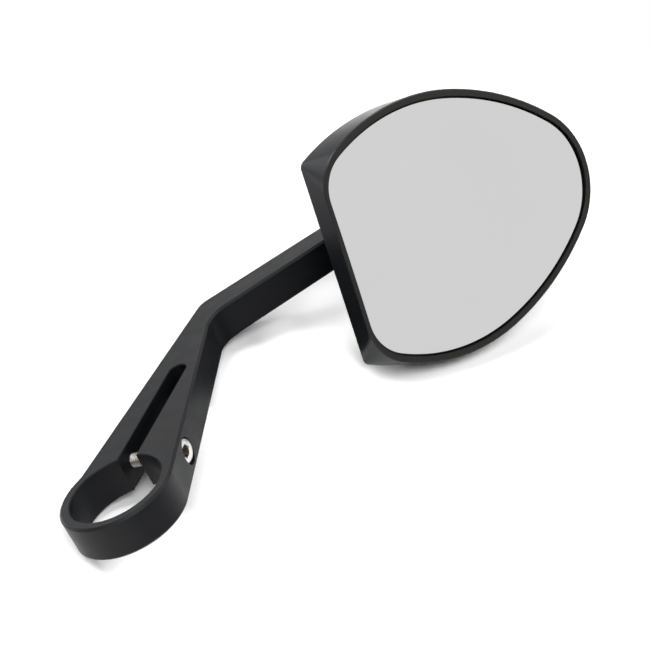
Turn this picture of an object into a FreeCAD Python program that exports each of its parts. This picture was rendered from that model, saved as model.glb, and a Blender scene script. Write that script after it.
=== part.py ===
import FreeCAD, Part
import math
import os

# Clamp-on bar-end mirror: a flat machined arm with a split clamp ring, and a ball-jointed mirror head.
# Lengths are millimetres and angles degrees. The origin is the centre of the bar bore, halfway through
# the plate. +X runs along the bar, +Z up the straight part of the arm, and the glass faces -Y.

# Arm plate and clamp ring
bar_diameter = 32.0
ring_wall = 3.55
plate_thickness = 13.0
plate_edge_chamfer = 0.8
bore_edge_chamfer = 0.3
inner_edge_angle = 33.5
outer_edge_angle = 50.6
outer_edge_offset = 18.35
ring_blend_radius = 10.0
arm_inner_reach = 68.2
arm_root_width = 12.9
arm_tip_width = 11.4
elbow_inner_radius = 14.0
elbow_outer_radius = 8.0
arm_end_margin = 10.0
arm_end_radius = 4.0

# Clamp slot
slot_width = 6.9
slot_angle = 46.3
slot_offset = 2.6
slot_reach = 66.3

# Clamp screw, a socket cap screw across the slot
clamp_thread_diameter = 5.0
clamp_head_diameter = 8.5
clamp_head_height = 5.0
clamp_socket_width = 4.0
clamp_socket_depth = 2.6
clamp_screw_length = 20.0
clamp_head_recess = 0.75
clamp_screw_wall = 4.0
clamp_counterbore_clearance = 0.45
clamp_hole_clearance = 0.25

# Ball stud
stud_height = 133.2
stud_standoff = 15.7
ball_diameter = 10.0
ball_front_flat_radius = 1.7
neck_diameter = 5.0
stud_hex_width = 10.0
stud_hex_height = 4.0
stud_thread_diameter = 6.0
stud_thread_length = 9.0
stud_hole_spare_depth = 1.0

# Mirror head: where the ball sits in it, and how it is turned on the ball
ball_from_flat_side = 21.3
ball_depth = 13.0
head_spin = 11.9
head_pitch = -4.0
head_yaw = -10.7
tilt_limit = 20.0

# Front outline of the head: a flat side, round corners, bowed sides, flatter flanks and a round end. The
# flank length is that of a straight line that touches side and end; the flank itself is an arc outside it.
front_length = 112.1
front_width = 97.8
front_side_height = 42.0
front_flank_length = 22.5
front_corner_radius = 18.5
front_end_radius = 31.3

# Back outline of the head: the same form with keen corners and a drawn-in round end
back_length = 110.1
back_width = 96.2
back_side_height = 38.0
back_flank_length = 18.0
back_corner_radius = 3.0
back_end_radius = 30.5

# Radius of a flank, in both outlines, as a multiple of the bowed side's radius
flank_flatness = 1.47

# Housing
housing_depth = 12.0
housing_edge_chamfer = 0.4
flat_rim_width = 1.5
side_rim_width = 2.6
end_rim_width = 2.4
ledge_width = 2.5
ledge_depth = 4.2
floor_thickness = 2.5
boss_base_radius = 10.5
boss_end_radius = 9.0
boss_height = 5.2
turret_radius = 13.0

# Glass, slightly convex, on a bead of adhesive
glass_thickness = 2.0
glass_radius = 1200.0
glass_crown_recess = 0.1
glass_edge_clearance = 0.8
bead_edge_clearance = 0.2
bead_glass_clearance = 0.02

# Ball joint inside the housing
cup_thickness = 1.05
cup_clearance = 0.05
rear_cup_end_angle = 86.0
front_cup_hole_angle = 24.0
front_cup_end_angle = 62.0
opening_margin_angle = 2.0
rear_cup_lip_angle = 1.0
pressure_ring_radius = 8.0
pressure_ring_hole_radius = 2.5
pressure_ring_rear = 2.2
pressure_ring_front = 6.9
pressure_ring_rear_gap = 0.3
pressure_ring_seat_angle = 45.0
spring_inner_radius = 3.2
spring_outer_radius = 7.4
spring_thickness = 0.5
spring_height = 0.8
plate_disc_thickness = 1.5

# Retaining plate screws, countersunk
plate_screw_count = 3
plate_screw_circle_radius = 10.5
plate_screw_diameter = 2.5
plate_screw_head_diameter = 4.7
plate_screw_length = 6.0
plate_screw_socket_width = 1.5
plate_screw_socket_depth = 0.8

# Values shared by several pieces; places nearer than the last one count as the same
thread_clearance = 0.05
screw_edge_chamfer = 0.4
same_place = 0.01

# Sizes worked out from the values above
bore_radius = bar_diameter / 2
ring_outer_radius = bore_radius + ring_wall
half_plate = plate_thickness / 2
ball_radius = ball_diameter / 2
neck_radius = neck_diameter / 2
cup_inner_radius = ball_radius + cup_clearance
cup_outer_radius = cup_inner_radius + cup_thickness
seat_radius = cup_outer_radius + cup_clearance
opening_angle = math.degrees(math.asin(neck_radius / ball_radius)) + tilt_limit + opening_margin_angle
spring_front = pressure_ring_front + spring_height
plate_front = spring_front + plate_disc_thickness
ball_centre = FreeCAD.Vector(0, arm_inner_reach - stud_standoff, stud_height)

AXIS_X = FreeCAD.Vector(1, 0, 0)
AXIS_Y = FreeCAD.Vector(0, 1, 0)
AXIS_Z = FreeCAD.Vector(0, 0, 1)


def plate_point(y, z, x=0.0):
    return FreeCAD.Vector(x, y, z)


def direction(angle):
    """Unit vector in the plate's plane, the angle counted from +Y towards +Z."""
    return plate_point(math.cos(math.radians(angle)), math.sin(math.radians(angle)))


def plate_prism(points):
    """Polygon in the plate's plane, extruded through the plate's thickness."""
    shift = AXIS_X * -half_plate
    corners = [point + shift for point in points]
    face = Part.Face(Part.makePolygon(corners + corners[:1]))
    return face.extrude(AXIS_X * plate_thickness)


def cylinder(radius, start, end):
    return Part.makeCylinder(radius, (end - start).Length, start, end - start)


def hexagon_prism(across_flats, start, end, flat_normal):
    """Hexagonal bar from start to end, with one pair of flats square to flat_normal."""
    axis = (end - start).normalize()
    first = flat_normal * (across_flats / math.sqrt(3))
    corners = []
    for step in range(6):
        turn = FreeCAD.Rotation(axis, 30 + 60 * step)
        corners.append(start + turn.multVec(first))
    return Part.Face(Part.makePolygon(corners + corners[:1])).extrude(end - start)


def edges_through_plate(shape, point):
    """Edges that run along X through a point of the plate's plane."""
    found = []
    for edge in shape.Edges:
        ends = [vertex.Point for vertex in edge.Vertexes]
        if all(math.hypot(end.y - point.y, end.z - point.z) < same_place for end in ends):
            found.append(edge)
    return found


# Arm plate

def line_crossing(point, along, other_point, other_along):
    """Where two lines of the plate's plane cross."""
    determinant = along.y * other_along.z - along.z * other_along.y
    gap = other_point - point
    travel = (gap.y * other_along.z - gap.z * other_along.y) / determinant
    return point + along * travel


def arm_corners():
    """Corner points of the wedge and the straight arm, before rounding."""
    inner_along = direction(inner_edge_angle)
    inner_start = direction(inner_edge_angle + 90) * ring_outer_radius
    outer_along = direction(outer_edge_angle)
    outer_foot = direction(outer_edge_angle - 90) * outer_edge_offset
    arm_top = stud_height + arm_end_margin
    inner_top = plate_point(arm_inner_reach, arm_top)
    outer_top = plate_point(arm_inner_reach + arm_tip_width, arm_top)
    inner_elbow = line_crossing(inner_start, inner_along, inner_top, AXIS_Z)
    outer_root = inner_elbow + plate_point(arm_root_width, 0)
    outer_elbow = line_crossing(outer_foot, outer_along, outer_top, outer_root - outer_top)
    return [inner_start, inner_elbow, inner_top, outer_top, outer_elbow, outer_foot]


def ring_blend_corner():
    """Where the wedge's outer edge leaves the ring."""
    run = math.sqrt(ring_outer_radius ** 2 - outer_edge_offset ** 2)
    foot = direction(outer_edge_angle - 90) * outer_edge_offset
    return foot + direction(outer_edge_angle) * run


def arm_blank():
    """Outer form of the plate, with rounded corners and broken edges."""
    corners = arm_corners()
    ring = cylinder(ring_outer_radius, AXIS_X * -half_plate, AXIS_X * half_plate)
    blank = ring.fuse(plate_prism(corners)).removeSplitter()
    inner_elbow, inner_top, outer_top, outer_elbow = corners[1:5]
    roundings = [
        (inner_elbow, elbow_inner_radius),
        (outer_elbow, elbow_outer_radius),
        (inner_top, arm_end_radius),
        (outer_top, arm_end_radius),
        (ring_blend_corner(), ring_blend_radius),
    ]
    for corner, radius in roundings:
        blank = blank.makeFillet(radius, edges_through_plate(blank, corner))
    outline = []
    for edge in blank.Edges:
        if all(abs(abs(vertex.X) - half_plate) < same_place for vertex in edge.Vertexes):
            if abs(edge.Vertexes[0].X - edge.Vertexes[-1].X) < same_place:
                outline.append(edge)
    return blank.makeChamfer(plate_edge_chamfer, outline)


def slot_point(along, across):
    """Point counted along the slot's direction and across it, towards the outer edge."""
    return direction(slot_angle) * along + direction(slot_angle - 90) * across


def cut_bore_and_slot(plate):
    half_slot = slot_width / 2
    slot_end = slot_reach - half_slot
    bore = cylinder(bore_radius, AXIS_X * -half_plate, AXIS_X * half_plate)
    run = plate_prism([
        slot_point(0, slot_offset - half_slot),
        slot_point(slot_end, slot_offset - half_slot),
        slot_point(slot_end, slot_offset + half_slot),
        slot_point(0, slot_offset + half_slot),
    ])
    end_centre = slot_point(slot_end, slot_offset)
    round_end = cylinder(half_slot, end_centre - AXIS_X * half_plate, end_centre + AXIS_X * half_plate)
    plate = plate.cut(bore.fuse([run, round_end]).removeSplitter())
    inner_edges = []
    for face in plate.Faces:
        if abs(abs(face.CenterOfMass.x) - half_plate) < same_place:
            for wire in face.Wires:
                if not wire.isSame(face.OuterWire):
                    inner_edges.extend(wire.Edges)
    return plate.makeChamfer(bore_edge_chamfer, inner_edges)


def clamp_screw_levels():
    """Places along the clamp screw, counted across the slot: head top, head seat and tip."""
    along = bore_radius + clamp_screw_wall + clamp_thread_diameter / 2
    axis_point = slot_point(along, 0)
    across = direction(slot_angle - 90)
    edge_start = direction(inner_edge_angle + 90) * ring_outer_radius
    side = line_crossing(axis_point, across, edge_start, direction(inner_edge_angle))
    head_top = (side - axis_point).dot(across) + clamp_head_recess
    seat = head_top + clamp_head_height
    return along, head_top, seat, seat + clamp_screw_length


def cut_clamp_screw_holes(plate):
    along, head_top, seat, tip = clamp_screw_levels()
    outside = ring_outer_radius + arm_root_width
    thread_radius = clamp_thread_diameter / 2
    counterbore_radius = clamp_head_diameter / 2 + clamp_counterbore_clearance
    counterbore = cylinder(counterbore_radius, slot_point(along, head_top - outside), slot_point(along, seat))
    clear_hole = cylinder(
        thread_radius + clamp_hole_clearance, slot_point(along, seat), slot_point(along, slot_offset)
    )
    threaded_hole = cylinder(
        thread_radius + thread_clearance, slot_point(along, slot_offset), slot_point(along, outside)
    )
    return plate.cut([counterbore, clear_hole, threaded_hole])


def clamp_arm():
    plate = cut_bore_and_slot(arm_blank())
    plate = cut_clamp_screw_holes(plate)
    mouth = plate_point(arm_inner_reach, stud_height)
    stud_hole = cylinder(
        stud_thread_diameter / 2 + thread_clearance,
        mouth,
        mouth + AXIS_Y * (stud_thread_length + stud_hole_spare_depth),
    )
    return plate.cut(stud_hole)


def clamp_screw():
    along, head_top, seat, tip = clamp_screw_levels()
    across = direction(slot_angle - 90)
    thread_radius = clamp_thread_diameter / 2
    tip_cone_start = slot_point(along, tip - screw_edge_chamfer)
    head = cylinder(clamp_head_diameter / 2, slot_point(along, head_top), slot_point(along, seat))
    head_end = slot_point(along, head_top)
    rim = [edge for edge in head.Edges if edge.CenterOfMass.distanceToPoint(head_end) < same_place]
    head = head.makeChamfer(screw_edge_chamfer, rim)
    shank = cylinder(thread_radius, slot_point(along, seat), tip_cone_start)
    tip_cone = Part.makeCone(
        thread_radius, thread_radius - screw_edge_chamfer, screw_edge_chamfer, tip_cone_start, across
    )
    socket = hexagon_prism(
        clamp_socket_width,
        slot_point(along, head_top),
        slot_point(along, head_top + clamp_socket_depth),
        AXIS_X,
    )
    return head.fuse([shank, tip_cone]).removeSplitter().cut(socket)


# Ball stud

def ball_stud():
    seat = plate_point(arm_inner_reach, stud_height)
    hex_front = seat - AXIS_Y * stud_hex_height
    flat_angle = math.degrees(math.acos(ball_front_flat_radius / ball_radius))
    ball = Part.makeSphere(ball_radius, ball_centre, AXIS_Y, -flat_angle, 90, 360)
    neck = cylinder(neck_radius, ball_centre, hex_front)
    collar = hexagon_prism(stud_hex_width, hex_front, seat, AXIS_X)
    thread = cylinder(
        stud_thread_diameter / 2, seat, seat + AXIS_Y * (stud_thread_length - screw_edge_chamfer)
    )
    tip = Part.makeCone(
        stud_thread_diameter / 2,
        stud_thread_diameter / 2 - screw_edge_chamfer,
        screw_edge_chamfer,
        seat + AXIS_Y * (stud_thread_length - screw_edge_chamfer),
        AXIS_Y,
    )
    return ball.fuse([neck, collar, thread, tip]).removeSplitter()


# Mirror head, built about the ball's centre with its front towards -Y and its flat side down

FRONT_OUTLINE = (
    0.0, front_length, front_width, front_side_height, front_flank_length, front_corner_radius, front_end_radius
)
BACK_OUTLINE = (
    0.0, back_length, back_width, back_side_height, back_flank_length, back_corner_radius, back_end_radius
)
POCKET_OUTLINE = (
    flat_rim_width,
    front_length - flat_rim_width - end_rim_width,
    front_width - 2 * side_rim_width,
    front_side_height - flat_rim_width,
    front_flank_length,
    front_corner_radius - flat_rim_width,
    front_end_radius - end_rim_width,
)


def depth_to_y(depth):
    """Local Y of a place that lies so far behind the rim."""
    return depth - ball_depth


def arc_edge(centre, radius, start_angle, end_angle, y):
    """Arc in a plane of constant Y, angles counted from the head's long axis towards +X."""
    points = []
    for angle in (start_angle, (start_angle + end_angle) / 2, end_angle):
        across = centre[1] + radius * math.sin(math.radians(angle))
        along = centre[0] + radius * math.cos(math.radians(angle))
        points.append(FreeCAD.Vector(across, y, along - ball_from_flat_side))
    return Part.Arc(*points).toShape()


def line_edge(first, second):
    return Part.LineSegment(first, second).toShape()


def side_arc_radius(outline):
    """Radius of the bowed side, from the straight flank length between it and the round end."""
    start, length, width, side_height, flank_length, corner_radius, end_radius = outline
    reach = length - end_radius - side_height
    spread = reach ** 2 + (width / 2) ** 2 - end_radius ** 2 - flank_length ** 2
    return spread / (width - 2 * end_radius)


def flank_centre(side, from_side, end, from_end):
    """Place at given distances from the centres of the bowed side and of the round end, across the head."""
    along, across = end[0] - side[0], end[1] - side[1]
    apart = math.hypot(along, across)
    run = (from_side ** 2 - from_end ** 2 + apart ** 2) / (2 * apart)
    rise = math.sqrt(from_side ** 2 - run ** 2)
    return (
        side[0] + (along * run + across * rise) / apart,
        side[1] + (across * run - along * rise) / apart,
    )


def bearing(centre, point):
    """Angle of a point seen from a centre, counted from the head's long axis."""
    return math.degrees(math.atan2(point[1] - centre[1], point[0] - centre[0]))


def head_outline(outline, inset, depth):
    """Closed outline of the head, moved inwards by inset, at a depth behind the rim."""
    start, length, width, side_height, flank_length, corner_radius, end_radius = outline
    y = depth_to_y(depth)
    end = (start + length - end_radius, 0.0)
    side_radius = side_arc_radius(outline)
    side = (start + side_height, width / 2 - side_radius)
    corner_run = math.sqrt((side_radius - corner_radius) ** 2 - (side_height - corner_radius) ** 2)
    corner = (start + corner_radius, side[1] + corner_run)
    flank_radius = side_radius * flank_flatness
    flank = flank_centre(side, flank_radius - side_radius, end, flank_radius - end_radius)
    corner_angle = bearing(side, corner)
    side_angle = bearing(flank, side)
    flank_angle = bearing(flank, end)
    halves = []
    for mirrored in (1, -1):
        halves.append([
            arc_edge((centre[0], mirrored * centre[1]), radius - inset, mirrored * first, mirrored * last, y)
            for centre, radius, first, last in (
                (corner, corner_radius, 180, corner_angle),
                (side, side_radius, corner_angle, side_angle),
                (flank, flank_radius, side_angle, flank_angle),
            )
        ])
    right, left = halves
    flat = line_edge(left[0].firstVertex().Point, right[0].firstVertex().Point)
    round_end = arc_edge(end, end_radius - inset, flank_angle, -flank_angle, y)
    return Part.Wire(Part.__sortEdges__([flat] + right + [round_end] + left[::-1]))


def pocket_prism(inset, depth_from, depth_to):
    """Outline of the glass pocket, moved inwards by inset and extruded between two depths."""
    face = Part.Face(head_outline(POCKET_OUTLINE, inset, depth_from))
    return face.extrude(AXIS_Y * (depth_to - depth_from))


def turned(points):
    """Solid of revolution about the head's Y axis from (radius, y) points."""
    corners = [FreeCAD.Vector(radius, y, 0) for radius, y in points]
    face = Part.Face(Part.makePolygon(corners + corners[:1]))
    return face.revolve(FreeCAD.Vector(), AXIS_Y, 360)


def polar(radius, angle, facing):
    """(radius, y) point on a sphere about the ball's centre, the angle counted from the Y axis."""
    return FreeCAD.Vector(
        radius * math.sin(math.radians(angle)), facing * radius * math.cos(math.radians(angle)), 0
    )


def sphere_arc(radius, start_angle, end_angle, facing):
    middle = (start_angle + end_angle) / 2
    return Part.Arc(
        polar(radius, start_angle, facing), polar(radius, middle, facing), polar(radius, end_angle, facing)
    ).toShape()


def ball_cup(start_angle, end_angle, facing):
    """Spherical shell round the ball between two angles from the Y axis."""
    inside = sphere_arc(cup_inner_radius, start_angle, end_angle, facing)
    outside = sphere_arc(cup_outer_radius, start_angle, end_angle, facing)
    ends = [
        line_edge(polar(cup_inner_radius, angle, facing), polar(cup_outer_radius, angle, facing))
        for angle in (start_angle, end_angle)
    ]
    face = Part.Face(Part.Wire(Part.__sortEdges__([inside, outside] + ends)))
    return face.revolve(FreeCAD.Vector(), AXIS_Y, 360)


def plate_screw_places():
    places = []
    for index in range(plate_screw_count):
        angle = math.radians(90 + 360 * index / plate_screw_count)
        places.append(FreeCAD.Vector(
            plate_screw_circle_radius * math.cos(angle), 0, plate_screw_circle_radius * math.sin(angle)
        ))
    return places


def along_y(radius, y_from, y_to, place=FreeCAD.Vector()):
    return cylinder(radius, place + AXIS_Y * y_from, place + AXIS_Y * y_to)


def housing_shell():
    """Outer form of the housing with its socket boss, hollowed for the glass and the joint."""
    sections = [
        head_outline(FRONT_OUTLINE, housing_edge_chamfer, 0),
        head_outline(FRONT_OUTLINE, 0, housing_edge_chamfer),
        head_outline(BACK_OUTLINE, 0, housing_depth - housing_edge_chamfer),
        head_outline(BACK_OUTLINE, housing_edge_chamfer, housing_depth),
    ]
    body = Part.makeLoft(sections, True, True)
    back_y = depth_to_y(housing_depth)
    boss = Part.makeCone(
        boss_base_radius, boss_end_radius, boss_height, AXIS_Y * back_y, AXIS_Y
    )
    floor_depth = housing_depth - floor_thickness
    pocket = pocket_prism(0, 0, ledge_depth)
    hollow = pocket_prism(ledge_width, ledge_depth, floor_depth)
    turret = along_y(turret_radius, depth_to_y(floor_depth), -spring_front)
    return body.fuse(boss).removeSplitter().cut([pocket, hollow]).fuse(turret).removeSplitter()


def mirror_housing():
    shell = housing_shell()
    step = pressure_ring_rear_gap - pressure_ring_rear
    boss_end = depth_to_y(housing_depth) + boss_height
    cone_height = 2 * boss_end
    ring_bore_radius = pressure_ring_radius + cup_clearance
    tools = [
        Part.makeSphere(seat_radius),
        along_y(seat_radius, step, 0),
        along_y(ring_bore_radius, -spring_front, step),
        Part.makeCone(0, cone_height * math.tan(math.radians(opening_angle)), cone_height,
                      FreeCAD.Vector(), AXIS_Y),
    ]
    hole_radius = plate_screw_diameter / 2 + thread_clearance
    for place in plate_screw_places():
        tools.append(along_y(hole_radius, -spring_front, plate_screw_length - plate_front, place))
    return shell.cut(tools)


def pressure_ring():
    """Ring with a coned seat that touches the front cup at the seat angle."""
    slope = math.tan(math.radians(pressure_ring_seat_angle))
    cone_tip = seat_radius / math.cos(math.radians(pressure_ring_seat_angle))
    seat_rear_radius = (cone_tip - pressure_ring_rear) / slope
    seat_front = cone_tip - pressure_ring_hole_radius * slope
    return turned([
        (seat_rear_radius, -pressure_ring_rear),
        (pressure_ring_radius, -pressure_ring_rear),
        (pressure_ring_radius, -pressure_ring_front),
        (pressure_ring_hole_radius, -pressure_ring_front),
        (pressure_ring_hole_radius, -seat_front),
    ])


def disc_spring():
    """Coned washer, its outer edge on the pressure ring and its inner edge on the plate."""
    return turned([
        (spring_outer_radius, -pressure_ring_front),
        (spring_outer_radius, -pressure_ring_front - spring_thickness),
        (spring_inner_radius, -spring_front),
        (spring_inner_radius, -spring_front + spring_thickness),
    ])


def countersink(clearance):
    """Cone of a plate screw's head about the Y axis, its wide end at the plate's front."""
    head_radius = plate_screw_head_diameter / 2 + clearance
    shank_radius = plate_screw_diameter / 2 + clearance
    return Part.makeCone(
        head_radius, shank_radius, head_radius - shank_radius, AXIS_Y * -plate_front, AXIS_Y
    )


def retaining_plate():
    plate = along_y(turret_radius, -plate_front, -spring_front)
    tools = []
    for place in plate_screw_places():
        seat = countersink(thread_clearance)
        seat.translate(place)
        tools.append(seat)
        tools.append(along_y(plate_screw_diameter / 2 + thread_clearance, -plate_front, -spring_front, place))
    return plate.cut(tools)


def plate_screws():
    shank = along_y(plate_screw_diameter / 2, -plate_front, plate_screw_length - plate_front)
    socket = hexagon_prism(
        plate_screw_socket_width,
        AXIS_Y * -plate_front,
        AXIS_Y * (plate_screw_socket_depth - plate_front),
        AXIS_X,
    )
    screw = countersink(0).fuse(shank).removeSplitter().cut(socket)
    copies = []
    for place in plate_screw_places():
        copy = screw.copy()
        copy.translate(place)
        copies.append(copy)
    return Part.makeCompound(copies)


def glass_sphere(radius):
    """Sphere that the glass is bent to, its crown over the middle of the outline."""
    crown = FreeCAD.Vector(
        0, depth_to_y(glass_crown_recess) + glass_radius, front_length / 2 - ball_from_flat_side
    )
    return Part.makeSphere(radius, crown, AXIS_Z)


def mirror_glass():
    blank = pocket_prism(glass_edge_clearance, -glass_thickness, ledge_depth)
    bent = blank.common(glass_sphere(glass_radius))
    return bent.cut(glass_sphere(glass_radius - glass_thickness))


def glass_adhesive():
    outer = pocket_prism(glass_edge_clearance, 0, ledge_depth)
    inner = pocket_prism(ledge_width - bead_edge_clearance, 0, ledge_depth)
    ring = outer.cut(inner)
    return ring.common(glass_sphere(glass_radius - glass_thickness - bead_glass_clearance))


def head_placement():
    """Turn on the ball: spin about the stud, then pitch about X, then yaw about Z."""
    turn = FreeCAD.Rotation(AXIS_Y, head_spin)
    turn = turn.multiply(FreeCAD.Rotation(AXIS_X, head_pitch))
    turn = turn.multiply(FreeCAD.Rotation(AXIS_Z, head_yaw))
    return FreeCAD.Placement(ball_centre, turn)


def build():
    os.makedirs("parts", exist_ok=True)
    fixed = {
        "clamp_arm": clamp_arm(),
        "clamp_screw": clamp_screw(),
        "ball_stud": ball_stud(),
    }
    head = {
        "rear_ball_cup": ball_cup(opening_angle - rear_cup_lip_angle, rear_cup_end_angle, 1),
        "front_ball_cup": ball_cup(front_cup_hole_angle, front_cup_end_angle, -1),
        "mirror_housing": mirror_housing(),
        "pressure_ring": pressure_ring(),
        "disc_spring": disc_spring(),
        "retaining_plate": retaining_plate(),
        "plate_screws": plate_screws(),
        "glass_adhesive": glass_adhesive(),
        "mirror_glass": mirror_glass(),
    }
    place = head_placement()
    for shape in head.values():
        shape.Placement = place
    for name, shape in {**fixed, **head}.items():
        shape.exportStep("parts/" + name + ".step")
        print(name, shape.isValid(), len(shape.Solids), round(shape.Volume, 1))


build()
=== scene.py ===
import math

import bmesh
import bpy
from mathutils import Matrix, Vector


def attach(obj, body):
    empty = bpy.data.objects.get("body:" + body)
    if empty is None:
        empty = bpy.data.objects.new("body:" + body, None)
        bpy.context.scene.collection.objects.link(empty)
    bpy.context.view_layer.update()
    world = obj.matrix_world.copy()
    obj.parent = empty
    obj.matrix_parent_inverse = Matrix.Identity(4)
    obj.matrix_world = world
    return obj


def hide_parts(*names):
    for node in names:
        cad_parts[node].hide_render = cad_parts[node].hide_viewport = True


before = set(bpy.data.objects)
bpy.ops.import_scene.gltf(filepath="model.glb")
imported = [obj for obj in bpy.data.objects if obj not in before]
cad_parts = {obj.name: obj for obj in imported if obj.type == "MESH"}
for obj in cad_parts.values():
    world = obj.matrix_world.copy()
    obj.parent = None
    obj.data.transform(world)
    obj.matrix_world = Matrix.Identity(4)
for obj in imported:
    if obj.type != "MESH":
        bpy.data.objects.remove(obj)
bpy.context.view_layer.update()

# Clamp-on bar-end mirror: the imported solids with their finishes, a hand-made clamp screw and ball stud, and a
# white table under soft studio light. Lengths are metres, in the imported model's frame.

MM = 0.001

# The photograph's view
EYE = Vector((-0.23262, -0.4124, -0.04283))
LOOK = Vector((0.4535, 0.8513, 0.2639)).normalized()
VIEW_UP = Vector((-0.8025, 0.2612, 0.5365))
SENSOR = 36.0
LENS = 82.45

# The table, which carries the clamp ring's edge, the elbow and the head's lower corner
TABLE_UP = Vector((-0.8575, -0.4012, 0.3221)).normalized()
TABLE_POINT = Vector((0.0065, 0.07858, 0.06802))
VIEW_RIGHT = LOOK.cross(VIEW_UP).normalized()
TABLE_RIGHT = (VIEW_RIGHT - TABLE_UP * VIEW_RIGHT.dot(TABLE_UP)).normalized()
TABLE_BACK = TABLE_UP.cross(TABLE_RIGHT)

# Clamp screw and ball stud, as in the solids
SLOT_ANGLE = math.radians(46.3)
SCREW_ALONG = 22.5 * MM
SCREW_AXIS = Vector((0, math.sin(SLOT_ANGLE), -math.cos(SLOT_ANGLE)))
SCREW_FOOT = Vector((0, math.cos(SLOT_ANGLE), math.sin(SLOT_ANGLE))) * SCREW_ALONG
STUD_TIP = Vector((0, 77.2, 133.2)) * MM
STUD_AXIS = Vector((0, -1, 0))

# The way the rim's front faces at rest
RIM_FRONT = Vector((-0.1676, -0.9802, 0.1054))

# Glows of the table: right, back, start and end distance, strength at the start and at the end. The first
# keeps its far end white, and the others are painted light over the shadow between the arm and the head.
TABLE_GLOWS = (
    (0.12, 0.0, 0.16, 0.36, 0.0, 0.5),
    (0.055, 0.0205, 0.0, 0.024, 0.75, 0.0),
    (0.03, 0.001, 0.0, 0.014, 0.45, 0.0),
)

# Oblongs of painted shade, seen only by gloss: right, back, way of the length, length, width, paint at the
# near end and at the far end. The first two lie under the head's flat wall and the last under the slot.
HEAD_WAY, SLOT_WAY = (0.813, -0.582), (0.271, 0.963)
TABLE_SHADES = (
    (-0.064, 0.034, HEAD_WAY, 0.2, 0.15, 0.01, 0.75),
    (0.0532, 0.016, HEAD_WAY, 0.02, 0.072, 0.01, 0.01),
    (-0.006, -0.056, SLOT_WAY, 0.06, 0.042, 0.01, 0.01),
)
SHADE_SPAN = (-0.25, 0.45)    # where the paint changes, as a share of the length from the oblong's middle
TABLE_DROP = 0.00005          # keeps the table off the faces that lie on it
FLAT_VIEW = (0.46, 0.54)      # sines of the angles below and above which the table clears away or is whole

# Colour sockets of a mix node
MIX_FIRST, MIX_SECOND, MIX_RESULT = 6, 7, 2


# Scene

def photo_camera():
    data = bpy.data.cameras.new("photo_camera")
    data.sensor_width = SENSOR
    data.lens = LENS
    data.clip_start = 0.01
    camera = bpy.data.objects.new("photo_camera", data)
    bpy.context.scene.collection.objects.link(camera)
    upright = VIEW_RIGHT.cross(LOOK)
    turn = Matrix((VIEW_RIGHT, upright, -LOOK)).transposed()
    camera.matrix_world = Matrix.Translation(EYE) @ turn.to_4x4()
    bpy.context.scene.camera = camera


def node(tree, kind, **values):
    """New shader node; a value's name is an input's name with _ for spaces, or a property of the node."""
    made = tree.nodes.new(kind)
    for name, value in values.items():
        socket = made.inputs.get(name.replace("_", " "))
        if socket is not None:
            socket.default_value = value
        else:
            setattr(made, name, value)
    return made


def reckon(tree, operation, first, second=0.0):
    """Result of a math node on two numbers or outputs."""
    made = node(tree, "ShaderNodeMath", operation=operation)
    for socket, value in zip(made.inputs, (first, second)):
        if isinstance(value, (int, float)):
            socket.default_value = value
        else:
            tree.links.new(value, socket)
    return made.outputs[0]


def seen_directly(tree):
    """1 for rays from the camera, or by way of gloss or glass, and 0 for the light that falls on things."""
    path = node(tree, "ShaderNodeLightPath")
    total = path.outputs["Is Camera Ray"]
    for ray in ("Is Glossy Ray", "Is Transmission Ray"):
        total = reckon(tree, "MAXIMUM", total, path.outputs[ray])
    return total


def white_room(ambient):
    world = bpy.data.worlds.new("white_room")
    bpy.context.scene.world = world
    world.use_nodes = True
    tree = world.node_tree
    background = tree.nodes["Background"]
    mix = node(tree, "ShaderNodeMix", data_type="RGBA")
    mix.inputs[MIX_FIRST].default_value = (ambient, ambient, ambient, 1)
    mix.inputs[MIX_SECOND].default_value = (1, 1, 1, 1)
    tree.links.new(seen_directly(tree), mix.inputs[0])
    tree.links.new(mix.outputs[MIX_RESULT], background.inputs["Color"])


def place_on_table(right, back, up):
    return TABLE_POINT + TABLE_RIGHT * right + TABLE_BACK * back + TABLE_UP * up


def soft_lamp(name, place, aim, size, watts):
    data = bpy.data.lights.new(name, "AREA")
    data.shape = "DISK"
    data.size = size
    data.energy = watts
    lamp = bpy.data.objects.new(name, data)
    bpy.context.scene.collection.objects.link(lamp)
    lamp.location = place
    lamp.rotation_euler = (aim - place).to_track_quat("-Z", "Y").to_euler()


def gloss_shade(tree, place):
    """Paint of the table: 1, but darker in its oblongs for glossy rays only, painted shade in what gloss
    mirrors.
    """
    paint = 1.0
    for right, back, way, length, width, near_paint, far_paint in TABLE_SHADES:
        offset = node(tree, "ShaderNodeVectorMath", operation="SUBTRACT")
        offset.inputs[1].default_value = (right, back, 0)
        tree.links.new(place, offset.inputs[0])
        reach = []
        for axis in (way, (-way[1], way[0])):
            along = node(tree, "ShaderNodeVectorMath", operation="DOT_PRODUCT")
            along.inputs[1].default_value = (*axis, 0)
            tree.links.new(offset.outputs[0], along.inputs[0])
            reach.append(along.outputs["Value"])
        inside = 1.0
        for value, size in zip(reach, (length, width)):
            within = reckon(tree, "LESS_THAN", reckon(tree, "ABSOLUTE", value), size / 2)
            inside = reckon(tree, "MULTIPLY", inside, within)
        far, near = (share * length for share in SHADE_SPAN)
        shade = between(tree, reach[0], far_paint, near_paint, far, near)
        lost = reckon(tree, "MULTIPLY", inside, reckon(tree, "SUBTRACT", 1.0, shade))
        paint = reckon(tree, "MULTIPLY", paint, reckon(tree, "SUBTRACT", 1.0, lost))
    gloss = node(tree, "ShaderNodeLightPath").outputs["Is Glossy Ray"]
    lost = reckon(tree, "MULTIPLY", gloss, reckon(tree, "SUBTRACT", 1.0, paint))
    return reckon(tree, "SUBTRACT", 1.0, lost)


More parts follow.
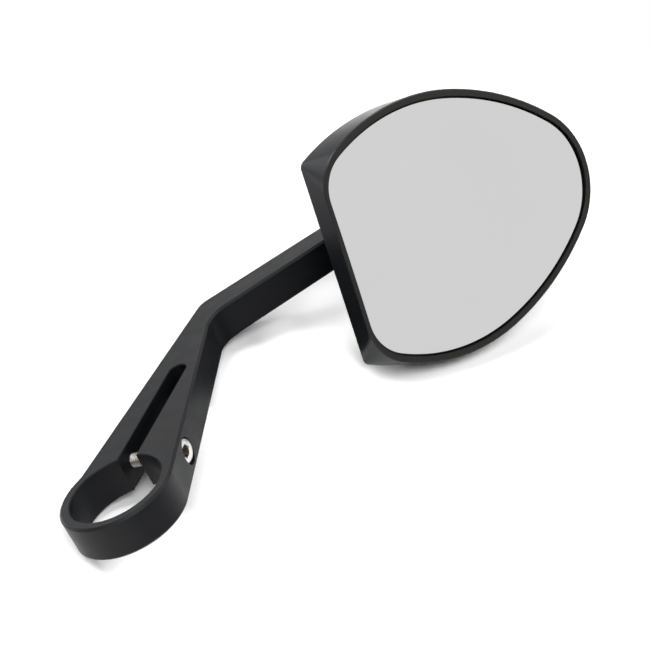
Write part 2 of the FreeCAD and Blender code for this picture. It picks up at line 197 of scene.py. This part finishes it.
def white_table(side):
    """White table that takes the shadows, and casts none on what is turned through it. It clears away where
    it is seen from below or too flatly."""
    bpy.ops.object.select_all(action="DESELECT")
    bpy.ops.mesh.primitive_plane_add(size=side)
    table = bpy.context.object
    table.name = "table"
    turn = Matrix((TABLE_RIGHT, TABLE_BACK, TABLE_UP)).transposed()
    table.matrix_world = Matrix.Translation(place_on_table(0, 0, -TABLE_DROP)) @ turn.to_4x4()
    table.visible_shadow = False
    material = bpy.data.materials.new("white_table")
    material.use_nodes = True
    tree = material.node_tree
    tree.nodes.clear()
    place = node(tree, "ShaderNodeTexCoord").outputs["Object"]
    total = 0.0
    for right, back, start, end, low, high in TABLE_GLOWS:
        apart = node(tree, "ShaderNodeVectorMath", operation="DISTANCE")
        apart.inputs[1].default_value = (right, back, 0)
        tree.links.new(place, apart.inputs[0])
        total = reckon(tree, "ADD", total, between(tree, apart.outputs["Value"], low, high, start, end))
    # Painted shade: the table is darker in its oblongs for glossy rays only
    shade = gloss_shade(tree, place)
    paint = node(tree, "ShaderNodeBsdfDiffuse")
    tree.links.new(shade, paint.inputs["Color"])
    # Emission seen by the camera and by gloss: a white far table, and painted light over the shadow between the
    # arm and the head
    white_and_painted_glow = node(tree, "ShaderNodeEmission", Color=(1, 1, 1, 1))
    strength = reckon(tree, "MULTIPLY", seen_directly(tree), reckon(tree, "MULTIPLY", total, shade))
    tree.links.new(strength, white_and_painted_glow.inputs["Strength"])
    lit = node(tree, "ShaderNodeAddShader")
    tree.links.new(paint.outputs[0], lit.inputs[0])
    tree.links.new(white_and_painted_glow.outputs[0], lit.inputs[1])
    seen = node(tree, "ShaderNodeNewGeometry")
    steep = node(tree, "ShaderNodeVectorMath", operation="DOT_PRODUCT")
    tree.links.new(seen.outputs["Incoming"], steep.inputs[0])
    tree.links.new(seen.outputs["True Normal"], steep.inputs[1])
    flat = between(tree, steep.outputs["Value"], 1.0, 0.0, *FLAT_VIEW)
    flat_view = reckon(tree, "MULTIPLY", node(tree, "ShaderNodeLightPath").outputs["Is Camera Ray"], flat)
    cleared = reckon(tree, "MAXIMUM", seen.outputs["Backfacing"], flat_view)
    clear = node(tree, "ShaderNodeBsdfTransparent")
    surface = node(tree, "ShaderNodeMixShader")
    tree.links.new(cleared, surface.inputs[0])
    tree.links.new(lit.outputs[0], surface.inputs[1])
    tree.links.new(clear.outputs[0], surface.inputs[2])
    output = node(tree, "ShaderNodeOutputMaterial")
    tree.links.new(surface.outputs[0], output.inputs["Surface"])
    table.data.materials.append(material)


def dark_card(name, place, across, along):
    """Black card, as a studio uses to darken a flank; it doesn't show itself. Vectors give its two sides."""
    bpy.ops.object.select_all(action="DESELECT")
    bpy.ops.mesh.primitive_plane_add(size=1)
    card = bpy.context.object
    card.name = name
    turn = Matrix((across, along, across.cross(along).normalized())).transposed()
    card.matrix_world = Matrix.Translation(place) @ turn.to_4x4()
    card.visible_camera = False
    card.visible_shadow = False
    card.data.materials.append(finish(name, Base_Color=(0.01, 0.01, 0.01, 1), Roughness=1)[0])


# Finishes

def finish(name, **values):
    """New material with its main shader's fixed values set on the sockets."""
    material = bpy.data.materials.new(name)
    material.use_nodes = True
    shader = material.node_tree.nodes["Principled BSDF"]
    for key, value in values.items():
        shader.inputs[key.replace("_", " ")].default_value = value
    return material, material.node_tree, shader


def grain(tree, size, detail=2.0, roughness=0.5):
    """Noise whose features are about so many metres across."""
    place = node(tree, "ShaderNodeTexCoord")
    noise = node(tree, "ShaderNodeTexNoise", Scale=1 / size, Detail=detail, Roughness=roughness)
    tree.links.new(place.outputs["Object"], noise.inputs["Vector"])
    return noise.outputs["Fac"]


def between(tree, source, low, high, floor=0.3, ceiling=0.7):
    span = node(tree, "ShaderNodeMapRange")
    span.inputs["From Min"].default_value = floor
    span.inputs["From Max"].default_value = ceiling
    span.inputs["To Min"].default_value = low
    span.inputs["To Max"].default_value = high
    tree.links.new(source, span.inputs["Value"])
    return span.outputs["Result"]


def tint(tree, source, dark, light, floor=0.3, ceiling=0.7):
    ramp = node(tree, "ShaderNodeValToRGB")
    ramp.color_ramp.elements[0].position = floor
    ramp.color_ramp.elements[1].position = ceiling
    ramp.color_ramp.elements[0].color = (*dark, 1)
    ramp.color_ramp.elements[1].color = (*light, 1)
    tree.links.new(source, ramp.inputs["Fac"])
    return ramp.outputs["Color"]


def roughen(tree, shader, source, height, strength=1.0):
    bump = node(tree, "ShaderNodeBump", Strength=strength, Distance=height)
    tree.links.new(source, bump.inputs["Height"])
    tree.links.new(bump.outputs["Normal"], shader.inputs["Normal"])


def facing(tree, way, low, high):
    """1 where the surface faces a way, as the piece stands at rest, and 0 where it faces elsewhere."""
    place = node(tree, "ShaderNodeTexCoord")
    along = node(tree, "ShaderNodeVectorMath", operation="DOT_PRODUCT")
    along.inputs[1].default_value = way
    tree.links.new(place.outputs["Normal"], along.inputs[0])
    return between(tree, along.outputs["Value"], 0.0, 1.0, low, high)


def blasted_black(name, dark, light, gloss, smooth, rough, pit, depth, rim=None):
    """Black anodised aluminium over a fine blasted surface, and a warmer tint where given on faces turned the
    rim's front way.
    """
    material, tree, shader = finish(name, Specular_IOR_Level=gloss)
    colour = tint(tree, grain(tree, 0.018, detail=4.0), dark, light)
    if rim:
        mix = node(tree, "ShaderNodeMix", data_type="RGBA")
        tree.links.new(facing(tree, RIM_FRONT, 0.8, 0.95), mix.inputs[0])
        tree.links.new(colour, mix.inputs[MIX_FIRST])
        mix.inputs[MIX_SECOND].default_value = (*rim, 1)
        colour = mix.outputs[MIX_RESULT]
    tree.links.new(colour, shader.inputs["Base Color"])
    tree.links.new(between(tree, grain(tree, 0.006, detail=3.0), smooth, rough), shader.inputs["Roughness"])
    roughen(tree, shader, grain(tree, pit, detail=1.0), depth, strength=0.5)
    return material


def mirror_silver():
    """Silvered glass, faintly grey, with the last trace of wiping marks."""
    material, tree, shader = finish("mirror_silver", Metallic=1.0)
    colour = tint(tree, grain(tree, 0.03, detail=5.0), (0.624, 0.626, 0.626), (0.640, 0.642, 0.642))
    tree.links.new(colour, shader.inputs["Base Color"])
    tree.links.new(between(tree, grain(tree, 0.012, detail=4.0), 0.015, 0.035), shader.inputs["Roughness"])
    return material


def turned_steel(name, foot, axis, base, smooth, rough, root, crest):
    """Turned steel with fine rings about an axis, darker and browner inside the root radius than outside the
    crest.
    """
    material, tree, shader = finish(name, Metallic=1.0)
    place = node(tree, "ShaderNodeTexCoord")
    turn = axis.to_track_quat("Z", "Y").to_euler()
    mapping = node(tree, "ShaderNodeMapping", vector_type="TEXTURE", Location=foot, Rotation=turn)
    tree.links.new(place.outputs["Object"], mapping.inputs["Vector"])
    rings = node(tree, "ShaderNodeTexWave", wave_type="RINGS", rings_direction="Z", Scale=1500.0,
                 Distortion=1.5, Detail=2.0)
    tree.links.new(mapping.outputs["Vector"], rings.inputs["Vector"])
    flat = node(tree, "ShaderNodeVectorMath", operation="MULTIPLY")
    flat.inputs[1].default_value = (1, 1, 0)
    tree.links.new(mapping.outputs["Vector"], flat.inputs[0])
    radius = node(tree, "ShaderNodeVectorMath", operation="LENGTH")
    tree.links.new(flat.outputs["Vector"], radius.inputs[0])
    # Darker and browner towards the thread root than outside the crest, with a random speckle
    crest_ramp = between(tree, radius.outputs["Value"], 0.0, 1.0, root, crest)
    speckle = between(tree, grain(tree, 0.002, detail=3.0), -0.1, 0.0)
    crest_share = reckon(tree, "ADD", crest_ramp, speckle)
    root_colour = tuple(channel * share for channel, share in zip(base, (0.42, 0.39, 0.32)))
    tree.links.new(tint(tree, crest_share, root_colour, base, 0.0, 1.0), shader.inputs["Base Color"])
    tree.links.new(between(tree, rings.outputs["Fac"], smooth, rough, 0.0, 1.0), shader.inputs["Roughness"])
    roughen(tree, shader, rings.outputs["Fac"], 0.000004, strength=0.4)
    return material


def zinc_plate(name, base):
    material, tree, shader = finish(name, Metallic=1.0)
    cloud = grain(tree, 0.004, detail=4.0)
    tree.links.new(tint(tree, cloud, tuple(c * 0.85 for c in base), base), shader.inputs["Base Color"])
    tree.links.new(between(tree, grain(tree, 0.0012, detail=3.0), 0.3, 0.45), shader.inputs["Roughness"])
    roughen(tree, shader, grain(tree, 0.0004), 0.000004, strength=0.3)
    return material


def moulded_black(name, dark, light, rough):
    material, tree, shader = finish(name)
    tree.links.new(tint(tree, grain(tree, 0.003, detail=3.0), dark, light), shader.inputs["Base Color"])
    tree.links.new(between(tree, grain(tree, 0.001), rough - 0.06, rough + 0.06), shader.inputs["Roughness"])
    roughen(tree, shader, grain(tree, 0.0003), 0.00001, strength=0.3)
    return material


def dress(material, *names):
    """Gives solids of the frame their finish."""
    for name in names:
        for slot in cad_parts[name].material_slots:
            slot.link = "OBJECT"
            slot.material = material


# Hand-made pieces, each turned up loop by loop from one circle

def round_loop(radius):
    return lambda angle: radius


def hexagon_loop(across_flats, corner=math.inf):
    """Radius of a hexagon at an angle, its corners cut back to the given radius."""
    def radius(angle):
        offset = (angle + math.pi / 6) % (math.pi / 3) - math.pi / 6
        return min(across_flats / 2 / math.cos(offset), corner)
    return radius


def thread_loop(major, minor):
    """Section across a single-start thread: the radius goes once from root to crest and back."""
    def radius(angle):
        share = angle / (2 * math.pi)
        slope = 1 - abs(2 * share - 1)
        ridge = min(1, max(0, (slope - 0.06) / 0.82))
        return minor + (major - minor) * ridge
    return radius


def set_loop(mesh, section, level):
    """Moves the selected loop of the open edit mesh to a section at a level."""
    for vertex in mesh.verts:
        if vertex.select:
            angle = math.atan2(vertex.co.y, vertex.co.x) % (2 * math.pi)
            radius = section(angle)
            vertex.co = (radius * math.cos(angle), radius * math.sin(angle), level)


def start_turning(name, section, level, count):
    bpy.ops.object.select_all(action="DESELECT")
    bpy.ops.mesh.primitive_circle_add(vertices=count, radius=0.001, fill_type="NOTHING")
    piece = bpy.context.object
    piece.name = name
    bpy.ops.object.mode_set(mode="EDIT")
    bpy.ops.mesh.select_all(action="SELECT")
    mesh = bmesh.from_edit_mesh(piece.data)
    set_loop(mesh, section, level)
    bmesh.update_edit_mesh(piece.data)
    return piece


def turn_on(piece, section, level):
    """Extrudes the selected loop to a new section and level."""
    bpy.ops.mesh.extrude_region_move()
    mesh = bmesh.from_edit_mesh(piece.data)
    set_loop(mesh, section, level)
    bmesh.update_edit_mesh(piece.data)


def turn_thread(piece, section, start, length, pitch, steps):
    """Extrudes the selected loop up a thread, a full turn of the section to each pitch."""
    rise = pitch / steps
    for index in range(1, round(length / rise) + 1):
        twist = 2 * math.pi * index / steps
        turn_on(piece, lambda angle: section((angle - twist) % (2 * math.pi)), start + index * rise)


def end_turning(piece, foot, axis, smooth_angle):
    """Closes the open ends, sets the piece in its place and leaves its object at the origin."""
    bpy.ops.mesh.select_all(action="SELECT")
    bpy.ops.mesh.remove_doubles(threshold=1e-7)
    bpy.ops.mesh.select_all(action="DESELECT")
    bpy.ops.mesh.select_non_manifold()
    bpy.ops.mesh.fill_holes(sides=0)
    bpy.ops.mesh.select_all(action="SELECT")
    bpy.ops.mesh.normals_make_consistent(inside=False)
    bpy.ops.object.mode_set(mode="OBJECT")
    turn = axis.to_track_quat("Z", "Y").to_matrix().to_4x4()
    piece.matrix_world = Matrix.Translation(foot) @ turn
    bpy.ops.object.transform_apply(location=True, rotation=True, scale=True)
    bpy.ops.object.shade_smooth_by_angle(angle=math.radians(smooth_angle))


def cap_screw(material):
    """Socket cap screw of the clamp, with its thread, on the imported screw's axis."""
    levels = [vertex.co.dot(SCREW_AXIS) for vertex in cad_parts["clamp_screw"].data.vertices]
    top, tip = min(levels), max(levels)
    head, length, thread_start = 5.0 * MM, tip - top, 6.4 * MM
    thread = thread_loop(2.48 * MM, 2.03 * MM)
    socket = hexagon_loop(4.0 * MM)
    screw = start_turning("cap_screw", round_loop(0.4 * MM), 3.1 * MM, count=48)
    turn_on(screw, socket, 2.6 * MM)
    turn_on(screw, socket, 0.25 * MM)
    turn_on(screw, hexagon_loop(4.4 * MM, 2.42 * MM), 0.0)
    turn_on(screw, round_loop(3.75 * MM), 0.0)
    turn_on(screw, round_loop(4.05 * MM), 0.12 * MM)
    turn_on(screw, round_loop(4.25 * MM), 0.45 * MM)
    turn_on(screw, round_loop(4.25 * MM), head - 0.15 * MM)
    turn_on(screw, round_loop(4.1 * MM), head)
    turn_on(screw, round_loop(2.6 * MM), head)
    turn_on(screw, round_loop(2.48 * MM), head + 0.2 * MM)
    turn_on(screw, round_loop(2.48 * MM), head + 1.0 * MM)
    turn_on(screw, thread, thread_start)
    thread_length = length - thread_start - 0.8 * MM
    turn_thread(screw, thread, thread_start, thread_length, pitch=0.8 * MM, steps=24)
    turn_on(screw, round_loop(2.0 * MM), length - 0.4 * MM)
    turn_on(screw, round_loop(1.6 * MM), length)
    end_turning(screw, SCREW_FOOT + SCREW_AXIS * top, SCREW_AXIS, smooth_angle=35)
    screw.data.materials.append(material)
    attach(screw, "base")
    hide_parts("clamp_screw")


def ball_stud(material):
    """Ball stud from the tip of its thread: hexagon collar, hollowed neck and ball with a flat."""
    seat, collar_top, ball_level, ball = 9.0 * MM, 13.0 * MM, 24.7 * MM, 5.0 * MM
    flats, corner_cut, neck = 10.0 * MM, 0.6 * MM, 2.5 * MM
    thread = thread_loop(2.95 * MM, 2.4 * MM)
    stud = start_turning("turned_stud", round_loop(2.1 * MM), 0.0, count=72)
    turn_on(stud, round_loop(2.4 * MM), 0.3 * MM)
    turn_on(stud, thread, 0.7 * MM)
    turn_thread(stud, thread, 0.7 * MM, 7.0 * MM, pitch=1.0 * MM, steps=24)
    turn_on(stud, round_loop(2.35 * MM), seat - 0.9 * MM)
    turn_on(stud, round_loop(2.35 * MM), seat)
    corner, corner_slope, steps = flats * 0.58, 1.7, 6
    for step in range(steps + 1):
        cut = corner_cut * (1 - step / steps)
        turn_on(stud, hexagon_loop(flats, corner - corner_slope * cut), seat + corner_cut - cut)
    for step in range(steps + 1):
        cut = corner_cut * step / steps
        turn_on(stud, hexagon_loop(flats, corner - corner_slope * cut), collar_top - corner_cut + cut)
    hollow = 0.9 * MM
    for step in range(steps + 1):
        swing = math.pi / 2 * step / steps
        radius = neck + hollow * (1 - math.sin(swing))
        turn_on(stud, round_loop(radius), collar_top + hollow * (1 - math.cos(swing)))
    ball_flat, bands = 1.7 * MM, 28
    neck_swing, flat_swing = math.pi - math.asin(neck / ball), math.asin(ball_flat / ball)
    for band in range(bands + 1):
        swing = neck_swing + (flat_swing - neck_swing) * band / bands
        turn_on(stud, round_loop(ball * math.sin(swing)), ball_level + ball * math.cos(swing))
    end_turning(stud, STUD_TIP, STUD_AXIS, smooth_angle=35)
    stud.data.materials.append(material)
    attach(stud, "base")
    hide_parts("ball_stud")


photo_camera()
white_room(ambient=0.05)
white_table(side=3.0)
middle = place_on_table(0.05, 0.0, 0.03)
soft_lamp("left_softbox", place_on_table(-0.6, 0.0, 0.9), middle, size=0.6, watts=7.4)
soft_lamp("front_softbox", place_on_table(0.1, -0.6, 0.9), middle, size=0.6, watts=7.6)
soft_lamp("right_softbox", place_on_table(0.8, 0.1, 0.9), middle, size=0.6, watts=5.8)
soft_lamp("back_softbox", place_on_table(0.1, 0.6, 0.9), middle, size=0.6, watts=3.2)
soft_lamp("low_softbox", place_on_table(-0.66, 0.31, 0.28), middle, size=0.5, watts=1.2)

# The arm's side, which faces -Y, mirrors the view to this way
flank_way = Vector((0.4535, -0.8513, 0.2639))
flank_across = TABLE_UP.cross(flank_way).normalized()
flank_up = flank_way.cross(flank_across).normalized()
arm_middle, card_distance, card_drop = Vector((0.0, 0.068, 0.1)), 0.42, 0.012
card_place = arm_middle + flank_way * card_distance - TABLE_UP * card_drop
dark_card("flank_card", card_place, across=flank_across * 0.7, along=flank_up * 0.115)

arm_black = blasted_black(
    "arm_black", dark=(0.0018, 0.0021, 0.0029), light=(0.0026, 0.0030, 0.0040),
    gloss=0.175, smooth=0.39, rough=0.45, pit=0.00022, depth=0.00002,
)
head_black = blasted_black(
    "head_black", dark=(0.0045, 0.0049, 0.0063), light=(0.0055, 0.0060, 0.0077),
    gloss=0.25, smooth=0.28, rough=0.34, pit=0.0002, depth=0.000012, rim=(0.0085, 0.0080, 0.0060),
)
stainless = turned_steel(
    "stainless", SCREW_FOOT, SCREW_AXIS, base=(0.60, 0.59, 0.575), smooth=0.2, rough=0.34,
    root=1.95 * MM, crest=2.5 * MM,
)
turned_zinc = turned_steel(
    "turned_zinc", STUD_TIP, STUD_AXIS, base=(0.55, 0.55, 0.54), smooth=0.24, rough=0.38,
    root=1.9 * MM, crest=2.4 * MM,
)
zinc = zinc_plate("zinc_plate", base=(0.55, 0.55, 0.54))
cup_black = moulded_black("cup_black", dark=(0.02, 0.02, 0.02), light=(0.03, 0.03, 0.03), rough=0.5)
bead_black = moulded_black("bead_black", dark=(0.008, 0.008, 0.008), light=(0.014, 0.014, 0.014), rough=0.6)

dress(arm_black, "clamp_arm")
dress(head_black, "mirror_housing")
dress(mirror_silver(), "mirror_glass")
dress(bead_black, "glass_adhesive")
dress(cup_black, "rear_ball_cup", "front_ball_cup", "pressure_ring")
dress(zinc, "disc_spring", "retaining_plate", "plate_screws")
cap_screw(stainless)
ball_stud(turned_zinc)

bpy.context.scene.view_settings.view_transform = "Standard"
